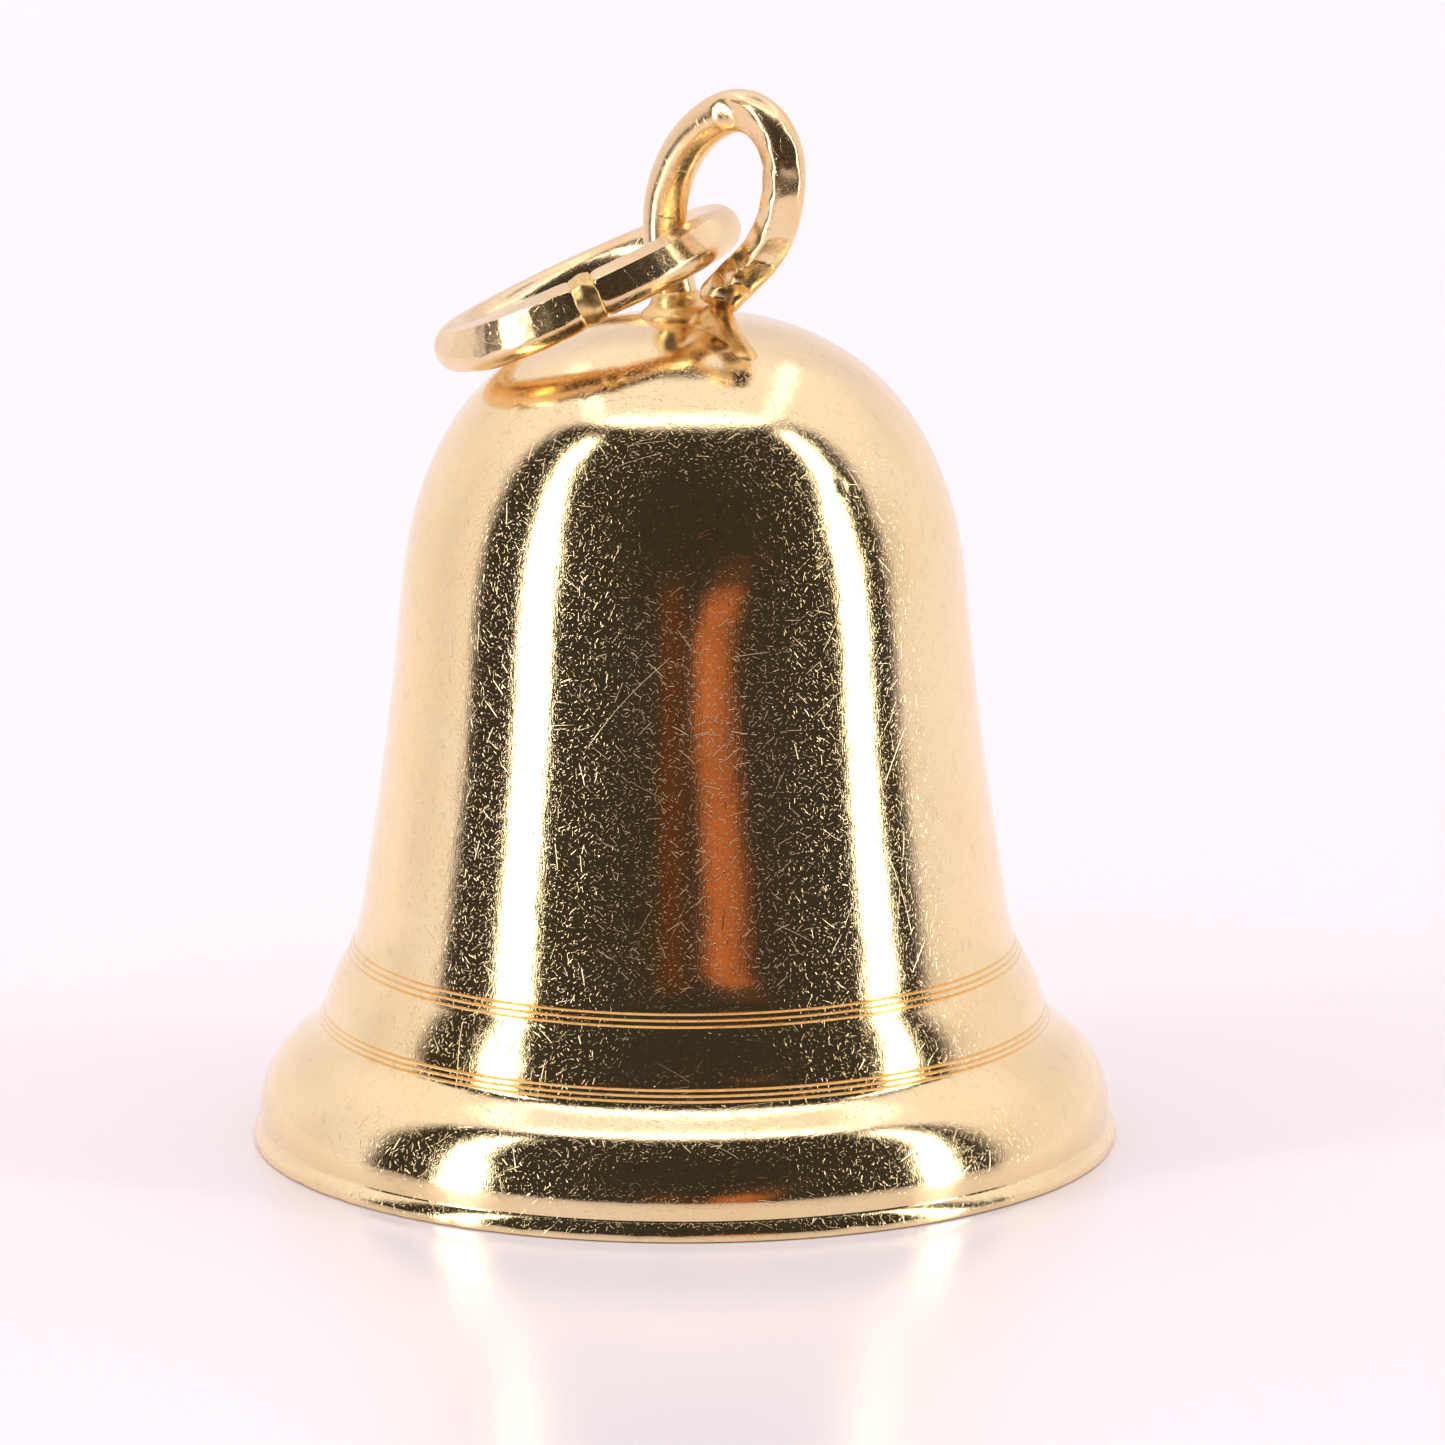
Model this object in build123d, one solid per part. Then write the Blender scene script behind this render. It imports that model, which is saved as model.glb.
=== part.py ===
from build123d import *
import math
import os

# A small gold charm shaped like a church bell. Millimetres, +Z up.
# The origin is the centre of the mouth, in the plane of its rim, so the bell stands on Z = 0.
# -Y is the front. The bail's loop leans to the right, and the jump ring lies on the left shoulder.

# ---- bell shell: sizes ----
mouth_radius = 8.0          # outside of the rim
body_height = 15.4          # rim to the top of the crown, outside
wall = 0.6                  # sheet of the waist, shoulder and crown
rim_width = 0.6             # flat face that the bell stands on
throat_thickness = 0.85     # level through the wall at the top of the lip

foot_height = 0.20          # plain upright edge above the rim
foot_step = 0.36            # where the edge has drawn in under the lip
foot_step_inset = 0.14
lip_height = 1.72           # top of the rounded lip
lip_inset = 0.62            # how far the lip draws in from the rim
lip_start = 0.65            # where the lip starts to turn in
lip_start_inset = 0.12
flare_top = 2.26            # top of the hollow flare above the lip
flare_inset = 1.22
collar_base = 2.55          # plain collar between the two turned bands
collar_base_inset = 1.34
collar_top = 3.50
collar_top_inset = 1.76
collar_crown = 0.04         # bulge of the collar's face
waist_base = 3.82           # the long waist starts over the upper band
waist_base_inset = 1.90
crown_height = 3.7          # the crown's top above the shoulder, where the waist ends
shoulder_inset = 3.02

turned_lines = 3            # fine lines in each turned band
turned_line_depth = 0.05
turned_line_width = 0.07

# The waist's curve, as (share of its draw that is left, share of its height),
# and the crown's curve, as (share of the shoulder's radius, share of the crown's height).
waist_curve = [(0.82, 0.125), (0.60, 0.33), (0.26, 0.73)]
crown_curve = [(0.925, 0.285), (0.805, 0.555), (0.62, 0.785), (0.38, 0.94)]

# ---- bail: a bent wire loop soldered on the crown ----
bail_wire = 0.80            # wire diameter
bail_turn = 43.0            # degrees its plane is turned about Z, right side to the front
bail_foot_x = -0.13         # foot of the upright leg, along the loop's plane
bail_seat_gap = 0.02        # solder under the foot
bail_leg_angle = 110.0      # direction of the upright leg, degrees
bail_leg_length = 0.62
bail_bends = [(2.05, 90.0), (0.60, 103.0), (1.75, 56.0)]   # inside radius and turn of each bend
bail_tail_length = 1.35     # straight end that comes back to the crown

solder_foot_spread = 0.32   # low cone round the upright leg's foot, beyond the wire
solder_foot_height = 0.50
solder_collar = 0.06        # thickness of solder at the cone's top
solder_spur_reach = 2.15    # the flare that runs from the wire's end down the crown's front
solder_spur_turn = -61.0    # degrees about Z
solder_spur_dip = 0.30      # its toe's centre is this far under the crown's surface
solder_spur_inset = 0.10    # its top is this much inside the wire's end
solder_spur_toe = 0.40      # radius at its toe

# ---- jump ring ----
ring_wire = 0.90
ring_inside_radius = 2.15
ring_hang_share = 0.098     # level of its underside, as a share of the loop's wire from its foot
ring_leg_gap = 0.066        # between its wire and the loop's upright leg
ring_end_shift = 0.205      # its right end is this far behind the leg
ring_rest_gap = 0.333       # between its left end and the shoulder
ring_roll = -4.3            # front side up, degrees
ring_seam_angle = -87.0     # the soldered seam, degrees round the ring
ring_seam_turn = 5.0        # length of the seam, degrees
ring_seam_bulge = 0.06      # solder stands proud of the wire

# ---- clapper, hung inside the crown ----
staple_wire = 0.70
staple_bend_radius = 0.85
staple_drop = 0.70          # straight legs below the crown's inside
staple_pad_radius = 1.55    # solder pad that holds both legs
staple_pad_thickness = 0.22
pivot_clearance = 0.05      # between a ring and the wire it hangs on
link_wire = 0.60
link_mean_radius = 1.20
eye_mean_radius = 0.75
eye_wire = 0.60
rod_diameter = 0.70
rod_seat_depth = 1.0        # how far the rod goes into the ball
rod_seat_gap = 0.02         # solder between rod and ball, radially
ball_radius = 1.40
mouth_room = 4.30           # free height under the ball

# ---- worked out from the sizes above ----
shoulder_radius = mouth_radius - shoulder_inset
ring_mean_radius = ring_inside_radius + ring_wire / 2
waist_base_radius = mouth_radius - waist_base_inset
shoulder_height = body_height - crown_height
crown_inside = body_height - wall
staple_pivot_height = crown_inside - staple_drop - staple_bend_radius
link_top = staple_pivot_height + staple_wire / 2 + link_wire / 2 + pivot_clearance
link_centre = link_top - link_mean_radius
link_bottom = link_centre - link_mean_radius
eye_top = link_bottom + link_wire / 2 + eye_wire / 2 + pivot_clearance
eye_centre = eye_top - eye_mean_radius
ball_centre = mouth_room + ball_radius
rod_end = ball_centre + ball_radius - rod_seat_depth


def at(radius, height):
    """A point of the bell's outline, in the XZ plane."""
    return Vector(radius, 0, height)


def body_points():
    """Waist and crown, from the top of the upper turned band to the crown's top."""
    draw = waist_base_radius - shoulder_radius
    rise = shoulder_height - waist_base
    points = [at(waist_base_radius, waist_base)]
    for left, share in waist_curve:
        points.append(at(shoulder_radius + draw * left, waist_base + rise * share))
    points.append(at(shoulder_radius, shoulder_height))
    for share, height in crown_curve:
        points.append(at(shoulder_radius * share, shoulder_height + crown_height * height))
    points.append(at(0, body_height))
    return points


def body_curve():
    """The outside of the waist and crown, level at the top."""
    return Spline(body_points(), tangents=[Vector(-0.34, 0, 1), Vector(-1, 0, 0)])


def lower_outline():
    """The outside from the rim's outer edge up to the waist."""
    edge = at(mouth_radius, 0)
    foot = at(mouth_radius, foot_height)
    step = at(mouth_radius - foot_step_inset, foot_step)
    lip_foot = at(mouth_radius - lip_start_inset, lip_start)
    lip = at(mouth_radius - lip_inset, lip_height)
    flare = at(mouth_radius - flare_inset, flare_top)
    collar_foot = at(mouth_radius - collar_base_inset, collar_base)
    collar_head = at(mouth_radius - collar_top_inset, collar_top)
    collar_middle = (collar_foot + collar_head) / 2 + Vector(collar_crown, 0, collar_crown / 2)
    return [
        Line(edge, foot),
        Line(foot, step),
        Line(step, lip_foot),
        Spline([lip_foot, lip], tangents=[Vector(-0.09, 0, 1), Vector(-0.97, 0, 1)]),
        Spline([lip, flare], tangents=[Vector(-0.97, 0, 1), Vector(-0.84, 0, 1)]),
        Line(flare, collar_foot),
        ThreePointArc(collar_foot, collar_middle, collar_head),
        Line(collar_head, at(waist_base_radius, waist_base)),
    ]


def inner_curve(body):
    """The inside: the waist and crown moved in by the wall, then down to the rim's inner edge."""
    samples = 9
    points = []
    for step in range(samples):
        share = step / samples
        tangent = body % share
        inward = Vector(-tangent.Z, 0, tangent.X)
        points.append(body @ share + inward * wall)
    throat = at(mouth_radius - lip_inset - throat_thickness, lip_height)
    rim = at(mouth_radius - rim_width, 0)
    points = [rim, throat] + points + [at(0, crown_inside)]
    return Spline(points, tangents=[Vector(-0.1, 0, 1), Vector(-1, 0, 0)])


def turned_line(low, high, share):
    """One V-shaped line round the bell, cut square to the face from low to high."""
    along = (high - low).normalized()
    inward = Vector(-along.Z, 0, along.X)
    middle = low + (high - low) * share
    mouth = middle - inward * turned_line_depth
    outline = Polyline(
        mouth - along * turned_line_width,
        mouth + along * turned_line_width,
        middle + inward * turned_line_depth,
        close=True,
    )
    return revolve(make_face(outline), Axis.Z)


def turned_band(low, high):
    """A band of fine turned lines, evenly spaced between two points of the outline."""
    cuts = []
    for number in range(turned_lines):
        share = (number + 0.5) / turned_lines
        cuts.append(turned_line(low, high, share))
    return cuts


def filled_body():
    """The bell's outside as one filled solid, which seats what is soldered on it."""
    outline = lower_outline() + [body_curve(), Line(at(0, body_height), at(0, 0))]
    outline.append(Line(at(0, 0), at(mouth_radius, 0)))
    return revolve(make_face(outline), Axis.Z)


def bell_shell():
    body = body_curve()
    inside = inner_curve(body)
    outline = lower_outline() + [body, Line(at(0, body_height), at(0, crown_inside)), inside]
    outline.append(Line(at(mouth_radius - rim_width, 0), at(mouth_radius, 0)))
    shell = revolve(make_face(outline), Axis.Z)
    flare = at(mouth_radius - flare_inset, flare_top)
    collar_foot = at(mouth_radius - collar_base_inset, collar_base)
    collar_head = at(mouth_radius - collar_top_inset, collar_top)
    cuts = turned_band(flare, collar_foot)
    cuts += turned_band(collar_head, at(waist_base_radius, waist_base))
    return shell - cuts


def crown_point(radius):
    """The point of the crown's outline at that radius."""
    body = body_curve()
    low, high = 0, 1
    while high - low > 1e-6:
        middle = (low + high) / 2
        if (body @ middle).X > radius:
            low = middle
        else:
            high = middle
    return body @ low


def bail_plane():
    """The loop's own plane: X along the loop, Y up, on the crown's top."""
    turn = math.radians(bail_turn)
    along = Vector(math.cos(turn), -math.sin(turn), 0)
    return Plane(origin=(0, 0, body_height), x_dir=along, z_dir=along.cross(Vector(0, 0, 1)))


def bail_path():
    """Upright leg, three bends to the right and a straight end, each tangent to the last."""
    lean = math.radians(bail_leg_angle)
    direction = Vector(math.cos(lean), math.sin(lean))
    foot_rise = bail_seat_gap + bail_wire / 2 * abs(math.cos(lean))
    runs = [Line((bail_foot_x, foot_rise), Vector(bail_foot_x, foot_rise) + direction * bail_leg_length)]
    for radius, turn in bail_bends:
        runs.append(JernArc(runs[-1] @ 1, runs[-1] % 1, radius + bail_wire / 2, -turn))
    runs.append(Line(runs[-1] @ 1, runs[-1] @ 1 + (runs[-1] % 1) * bail_tail_length))
    return Wire(runs)


def bail_loop():
    path = bail_plane() * bail_path()
    return sweep((path ^ 0) * Circle(bail_wire / 2), path)


def bail_solder(loop, crown):
    """A low cone round the upright leg, and the long flare from the loop's end down the crown."""
    plane = bail_plane()
    foot = plane.from_local_coords((bail_foot_x, 0, 0))
    cone_top = bail_wire / 2 + solder_collar
    cone_foot = bail_wire / 2 + solder_foot_spread
    cone_base = cone_foot + wall * (cone_foot - cone_top) / solder_foot_height
    cone = Pos(foot.X, foot.Y, crown_inside) * Cone(
        cone_base, cone_top, solder_foot_height + wall, align=(Align.CENTER, Align.CENTER, Align.MIN)
    )
    tail = plane.from_local_coords(bail_path() @ 1)
    turn = math.radians(solder_spur_turn)
    out = Vector(math.cos(turn), math.sin(turn), 0) * solder_spur_reach
    spine = Line(tail, out + Vector(0, 0, crown_point(solder_spur_reach).Z - solder_spur_dip))
    spur_top = (spine ^ 0) * Circle(bail_wire / 2 - solder_spur_inset)
    spur = loft([spur_top, (spine ^ 1) * Circle(solder_spur_toe)])
    return (cone + spur) - loop - crown


def ring_end():
    """The right end of the jump ring's centre line, beside the loop's upright leg."""
    hang = bail_plane().from_local_coords(bail_path() @ ring_hang_share)
    return hang + Vector((bail_wire + ring_wire) / 2 + ring_leg_gap, ring_end_shift, ring_wire / 2)


def ring_direction(end):
    """Up the ring from its left end, which has dropped until it rests over the shoulder."""
    body = body_curve()
    tilt = 0
    rest = ring_wire / 2 + ring_rest_gap
    gap = rest + 1
    while gap > rest + 1e-5:
        along = Vector(math.cos(tilt), 0, math.sin(tilt))
        left = end - along * ring_mean_radius * 2
        gap = body.distance_to(at(math.hypot(left.X, left.Y), left.Z))
        tilt += (gap - rest) / (ring_mean_radius * 2)
    return along


def ring_plane():
    """The jump ring's plane: X towards the loop and upwards, Z square to the ring."""
    end = ring_end()
    along = ring_direction(end)
    roll = math.radians(ring_roll)
    side = Vector(0, 1, 0) * math.cos(roll) + along.cross(Vector(0, 1, 0)) * math.sin(roll)
    return Plane(origin=end - along * ring_mean_radius, x_dir=along, z_dir=along.cross(side))


def jump_ring():
    """Round wire, open at the seam that the solder fills."""
    turned = ring_plane() * Rot(0, 0, ring_seam_angle + ring_seam_turn / 2)
    return turned * Torus(
        ring_mean_radius, ring_wire / 2, major_angle=360 - ring_seam_turn, align=None
    )


def jump_ring_solder():
    turned = ring_plane() * Rot(0, 0, ring_seam_angle - ring_seam_turn / 2)
    return turned * Torus(
        ring_mean_radius, ring_wire / 2 + ring_seam_bulge, major_angle=ring_seam_turn, align=None
    )


def clapper_staple():
    """A U of wire under the crown, in the XZ plane."""
    leg_top = crown_inside - staple_pad_thickness
    bend_centre = crown_inside - staple_drop
    left = at(-staple_bend_radius, bend_centre)
    right = at(staple_bend_radius, bend_centre)
    path = Wire([
        Line(at(-staple_bend_radius, leg_top), left),
        ThreePointArc(left, at(0, staple_pivot_height), right),
        Line(right, at(staple_bend_radius, leg_top)),
    ])
    return sweep((path ^ 0) * Circle(staple_wire / 2), path)


def staple_solder(shell):
    """The pad of solder between the staple's legs and the crown's inside."""
    pad_height = staple_pad_thickness + wall / 2
    pad = Pos(0, 0, crown_inside - staple_pad_thickness) * Cylinder(
        staple_pad_radius, pad_height, align=(Align.CENTER, Align.CENTER, Align.MIN)
    )
    return pad - shell


def clapper_link():
    """A closed ring through the staple, in the YZ plane."""
    return Plane(origin=(0, 0, link_centre), x_dir=(0, 1, 0), z_dir=(1, 0, 0)) * Torus(
        link_mean_radius, link_wire / 2
    )


def clapper_rod():
    """An eye in the XZ plane, and the rod under it."""
    eye = Plane(origin=(0, 0, eye_centre), x_dir=(1, 0, 0), z_dir=(0, 1, 0)) * Torus(
        eye_mean_radius, eye_wire / 2
    )
    rod_top = eye_centre - eye_mean_radius
    rod = Pos(0, 0, rod_end) * Cylinder(
        rod_diameter / 2, rod_top - rod_end, align=(Align.CENTER, Align.CENTER, Align.MIN)
    )
    return eye + rod


def clapper_ball():
    """A ball with a blind hole that takes the rod."""
    hole = Pos(0, 0, rod_end - rod_seat_gap) * Cylinder(
        rod_diameter / 2 + rod_seat_gap, ball_radius * 2, align=(Align.CENTER, Align.CENTER, Align.MIN)
    )
    return Pos(0, 0, ball_centre) * Sphere(ball_radius) - hole


def build_parts():
    shell = bell_shell()
    loop = bail_loop()
    return {
        "bell_shell": shell,
        "bail_loop": loop,
        "bail_solder": bail_solder(loop, filled_body()),
        "jump_ring": jump_ring(),
        "jump_ring_solder": jump_ring_solder(),
        "clapper_staple": clapper_staple(),
        "staple_solder": staple_solder(shell),
        "clapper_link": clapper_link(),
        "clapper_rod": clapper_rod(),
        "clapper_ball": clapper_ball(),
    }


os.makedirs("parts", exist_ok=True)
for node, solid in build_parts().items():
    export_step(solid, "parts/" + node + ".step")
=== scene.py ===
import math
import random

import bpy
import numpy as np
from mathutils import Matrix, Vector


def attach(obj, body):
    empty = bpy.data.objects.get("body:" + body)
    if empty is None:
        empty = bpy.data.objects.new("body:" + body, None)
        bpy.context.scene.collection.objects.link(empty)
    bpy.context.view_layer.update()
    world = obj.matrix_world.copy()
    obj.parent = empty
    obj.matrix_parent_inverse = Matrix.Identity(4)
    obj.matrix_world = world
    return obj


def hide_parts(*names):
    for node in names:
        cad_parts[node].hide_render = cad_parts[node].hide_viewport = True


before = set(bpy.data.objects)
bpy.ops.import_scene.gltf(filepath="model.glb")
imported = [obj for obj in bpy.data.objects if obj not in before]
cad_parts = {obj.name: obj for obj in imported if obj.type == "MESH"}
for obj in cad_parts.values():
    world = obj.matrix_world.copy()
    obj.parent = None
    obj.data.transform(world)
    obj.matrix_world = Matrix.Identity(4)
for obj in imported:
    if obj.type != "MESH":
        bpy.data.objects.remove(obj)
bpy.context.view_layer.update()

random.seed(27)
mm = 0.001


# helpers

def pick(obj):
    # only this one selected and active
    bpy.ops.object.select_all(action='DESELECT')
    obj.select_set(True)
    bpy.context.view_layer.objects.active = obj


def named(name):
    obj = bpy.context.active_object
    obj.name = name
    obj.data.name = name
    return obj


def settle(obj):
    # put the place into the mesh, object back at the origin
    pick(obj)
    bpy.ops.object.transform_apply(location=True, rotation=True, scale=True)


def cleanUp(obj, gap=1e-7):
    pick(obj)
    bpy.ops.object.mode_set(mode='EDIT')
    bpy.ops.mesh.select_all(action='SELECT')
    bpy.ops.mesh.remove_doubles(threshold=gap)
    bpy.ops.mesh.delete_loose(use_verts=True, use_edges=True, use_faces=False)
    bpy.ops.mesh.select_all(action='SELECT')
    bpy.ops.mesh.normals_make_consistent(inside=False)
    bpy.ops.mesh.select_all(action='DESELECT')
    bpy.ops.object.mode_set(mode='OBJECT')


def smooth(obj, degrees=35):
    pick(obj)
    bpy.ops.object.shade_smooth_by_angle(angle=math.radians(degrees))


def addModifier(obj, kind, **settings):
    pick(obj)
    mod = obj.modifiers.new(kind.lower(), kind)
    for key, value in settings.items():
        setattr(mod, key, value)
    bpy.ops.object.modifier_apply(modifier=mod.name)


def fairLine(points, startDir, endDir, count):
    # a smooth line through the points, leaving and arriving in the given directions
    p = np.array(points, float)
    steps = np.linalg.norm(p[1:] - p[:-1], axis=1)
    u = np.concatenate([[0], np.cumsum(steps)])
    n = len(p)
    a = np.zeros((n, n))
    b = np.zeros((n, 2))
    a[0, 0] = a[-1, -1] = 1
    b[0] = np.array(startDir) / np.linalg.norm(startDir)
    b[-1] = np.array(endDir) / np.linalg.norm(endDir)
    for i in range(1, n - 1):
        h, k = steps[i - 1], steps[i]
        a[i, i - 1], a[i, i], a[i, i + 1] = k, 2 * (h + k), h
        b[i] = 3 * ((p[i] - p[i - 1]) / h * k + (p[i + 1] - p[i]) / k * h)
    slope = np.linalg.solve(a, b)
    line = []
    for s in np.linspace(0, u[-1], count):
        i = min(max(int(np.searchsorted(u, s)) - 1, 0), n - 2)
        h = steps[i]
        x = (s - u[i]) / h
        line.append((2*x**3 - 3*x*x + 1) * p[i] + (x**3 - 2*x*x + x) * h * slope[i]
                    + (3*x*x - 2*x**3) * p[i + 1] + (x**3 - x*x) * h * slope[i + 1])
    return line


def readPoints(mesh, kind='co'):
    values = np.zeros(len(mesh.vertices) * 3)
    mesh.vertices.foreach_get(kind, values)
    return values.reshape(-1, 3)


def writePoints(mesh, co):
    mesh.vertices.foreach_set('co', co.ravel())
    mesh.update()


def push(obj, places):
    # small dents and lumps: (place mm, direction, depth mm, radius mm)
    co = readPoints(obj.data)
    for place, direction, depth, radius in places:
        d = np.array(direction, float)
        d /= np.linalg.norm(d)
        away = np.linalg.norm(co - np.array(place) * mm, axis=1) / (radius * mm)
        fall = np.clip(1 - away, 0, 1)
        fall = fall * fall * (3 - 2 * fall)
        co += fall[:, None] * d * depth * mm
    writePoints(obj.data, co)


def waver(obj, size, amount, seed):
    # hand-made unevenness: slow waves along the normals, size and amount in mm
    co, no = readPoints(obj.data), readPoints(obj.data, 'normal')
    rng = np.random.RandomState(seed)
    height = np.zeros(len(co))
    waveCount = 7
    for k in range(waveCount):
        way = rng.normal(size=3)
        way /= np.linalg.norm(way)
        wave = size * rng.uniform(0.6, 1.7) * mm
        height += np.sin(co @ way * 2 * math.pi / wave + rng.uniform(0, 6.28)) / waveCount
    co += no * height[:, None] * amount * mm
    writePoints(obj.data, co)


# camera

# aim and distance in mm, pitch in degrees, lens and sensor in mm
view = dict(aim=(0.704, 0, 7.79), distance=192, pitch=12.2, lens=259.5, sensor=36)

bpy.ops.object.select_all(action='DESELECT')
pitch = math.radians(view['pitch'])
cameraPlace = Vector(view['aim']) + Vector((0, -math.cos(pitch), math.sin(pitch))) * view['distance']
bpy.ops.object.camera_add(location=cameraPlace * mm, rotation=(math.pi / 2 - pitch, 0, 0))
camera = bpy.context.active_object
camera.data.lens = view['lens']
camera.data.sensor_width = view['sensor']
camera.data.clip_start = 0.01
camera.data.clip_end = 20
camera.data.dof.use_dof = False
bpy.context.scene.camera = camera
print('camera ready')


# bell shell: radii and heights in mm

bell = dict(
    mouth=8.0, height=15.4, wall=0.6, rim=0.6,
    lipTop=(7.38, 1.72), flareTop=(6.78, 2.26),
    collarFoot=(6.66, 2.55), collarHead=(6.24, 3.50), waistFoot=(6.10, 3.82),
    shoulder=(4.98, 11.7),
    waist=((0.82, 0.125), (0.60, 0.33), (0.26, 0.73)),
    crown=((0.925, 0.285), (0.805, 0.555), (0.62, 0.785), (0.38, 0.94)),
    lineDepth=0.042, lineWidth=0.044, turns=320)


def turnedBand(low, high, bell):
    # three fine lines between two points of the outline, cut so that their long sides face up
    low, high = np.array(low), np.array(high)
    along = (high - low) / np.linalg.norm(high - low)
    inward = np.array((-along[1], along[0]))
    points = []
    for number in range(3):
        middle = low + (high - low) * (number + 0.5) / 3
        half = along * bell['lineWidth'] / 2
        points += [middle - half * 2.0, middle - half * 1.8, middle + half * 0.5 + inward * bell['lineDepth'],
                   middle + half, middle + half * 1.5]
    return points


def bellOutline(bell):
    # from the rim's outer edge over the crown, then down inside to the rim's inner edge
    m, top = bell['mouth'], bell['height']
    sr, sz = bell['shoulder']
    wr, wz = bell['waistFoot']
    soft = 0.035
    points = [(m - 0.09, 0.0), (m - soft, 0.012), (m - 0.008, 0.03), (m, 0.06), (m, 0.16),
              (m - 0.012, 0.19), (m - 0.05, 0.245), (m - 0.10, 0.31), (m - 0.135, 0.345),
              (m - 0.145, 0.375), (m - 0.140, 0.42), (m - 0.128, 0.55)]
    points += fairLine([(m - 0.12, 0.65), bell['lipTop']], (-0.09, 1), (-0.97, 1), 22)
    points += fairLine([bell['lipTop'], bell['flareTop']], (-0.97, 1), (-0.84, 1), 14)[1:-1]
    foot, head = np.array(bell['collarFoot']), np.array(bell['collarHead'])
    points += [np.array(bell['flareTop'])]
    points += turnedBand(bell['flareTop'], foot, bell)
    for k in np.linspace(0, 1, 14):
        points.append(foot + (head - foot) * k + np.array((0.04, 0.02)) * 4 * k * (1 - k))
    points += turnedBand(head, bell['waistFoot'], bell)
    body = [(wr, wz)]
    body += [(sr + (wr - sr) * left, wz + (sz - wz) * up) for left, up in bell['waist']]
    body += [(sr, sz)]
    body += [(sr * out, sz + (top - sz) * up) for out, up in bell['crown']] + [(0, top)]
    outside = fairLine(body, (-0.34, 1), (-1, 0), 120)
    points += outside
    inside = []
    for k in range(0, 118, 5):
        a, b = outside[k], outside[k + 1]
        way = (b - a) / np.linalg.norm(b - a)
        inside.append(a + np.array((-way[1], way[0])) * bell['wall'])
    inside = [(m - bell['rim'], 0.0), (6.53, 1.72)] + inside + [(0, top - bell['wall'])]
    inside = fairLine(inside, (-0.1, 1), (-1, 0), 90)
    inside.reverse()
    points += inside
    # across the rim, back to where it began, so that the spun skin is closed
    points += [(m - bell['rim'] + 0.03, 0.0), (m - 0.09, 0.0)]
    return [Vector((float(p[0]), 0, float(p[1]))) for p in points]


def spinOutline(name, outline, turns):
    # the outline is drawn with one point, extruded on and on, then spun round the axis
    bpy.ops.object.select_all(action='DESELECT')
    bpy.ops.mesh.primitive_plane_add(size=2 * mm)
    obj = named(name)
    bpy.ops.object.mode_set(mode='EDIT')
    bpy.ops.mesh.select_all(action='SELECT')
    bpy.ops.mesh.merge(type='CENTER')
    bpy.ops.transform.translate(value=outline[0] * mm)
    for before, after in zip(outline, outline[1:]):
        bpy.ops.mesh.extrude_region_move(TRANSFORM_OT_translate={'value': (after - before) * mm})
    bpy.ops.mesh.select_all(action='SELECT')
    bpy.ops.mesh.spin(steps=turns, angle=2 * math.pi, center=(0, 0, 0), axis=(0, 0, 1))
    bpy.ops.object.mode_set(mode='OBJECT')
    cleanUp(obj)
    return obj


bellShell = spinOutline('bellShell', bellOutline(bell), bell['turns'])
waver(bellShell, 4.5, 0.010, 3)
# dings: place, depth, radius
dings = [((2.9, -3.55, 12.95), 0.030, 0.16), ((3.15, -3.45, 12.55), 0.022, 0.10),
         ((2.55, -4.3, 11.7), 0.03, 0.09), ((2.05, -4.95, 7.55), 0.026, 0.14),
         ((2.35, -4.8, 7.2), 0.018, 0.09), ((-1.6, -3.1, 14.2), 0.024, 0.22),
         ((-1.3, -3.25, 14.15), 0.020, 0.14), ((-1.75, -2.75, 14.45), 0.018, 0.16),
         ((-3.0, -2.2, 14.0), 0.02, 0.2), ((3.9, 2.3, 12.8), 0.03, 0.25),
         ((-4.2, 3.4, 9.0), 0.025, 0.2), ((0.6, 5.4, 8.2), 0.03, 0.24)]
push(bellShell, [(place, (-place[0], -place[1], -0.5), depth, radius) for place, depth, radius in dings])
nick = dict(count=46, heights=(0.02, 0.18, 0.22), depth=(0.015, 0.05), radius=(0.06, 0.16))
nicks = []
for number in range(nick['count']):
    turn = random.uniform(0, 2 * math.pi)
    place = (bell['mouth'] * math.sin(turn), -bell['mouth'] * math.cos(turn), random.choice(nick['heights']))
    depth = random.uniform(*nick['depth'])
    nicks.append((place, (-place[0], -place[1], 1.5), depth, random.uniform(*nick['radius'])))
push(bellShell, nicks)
smooth(bellShell, 24)
print('bell shell', len(bellShell.data.polygons))


# wires

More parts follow.
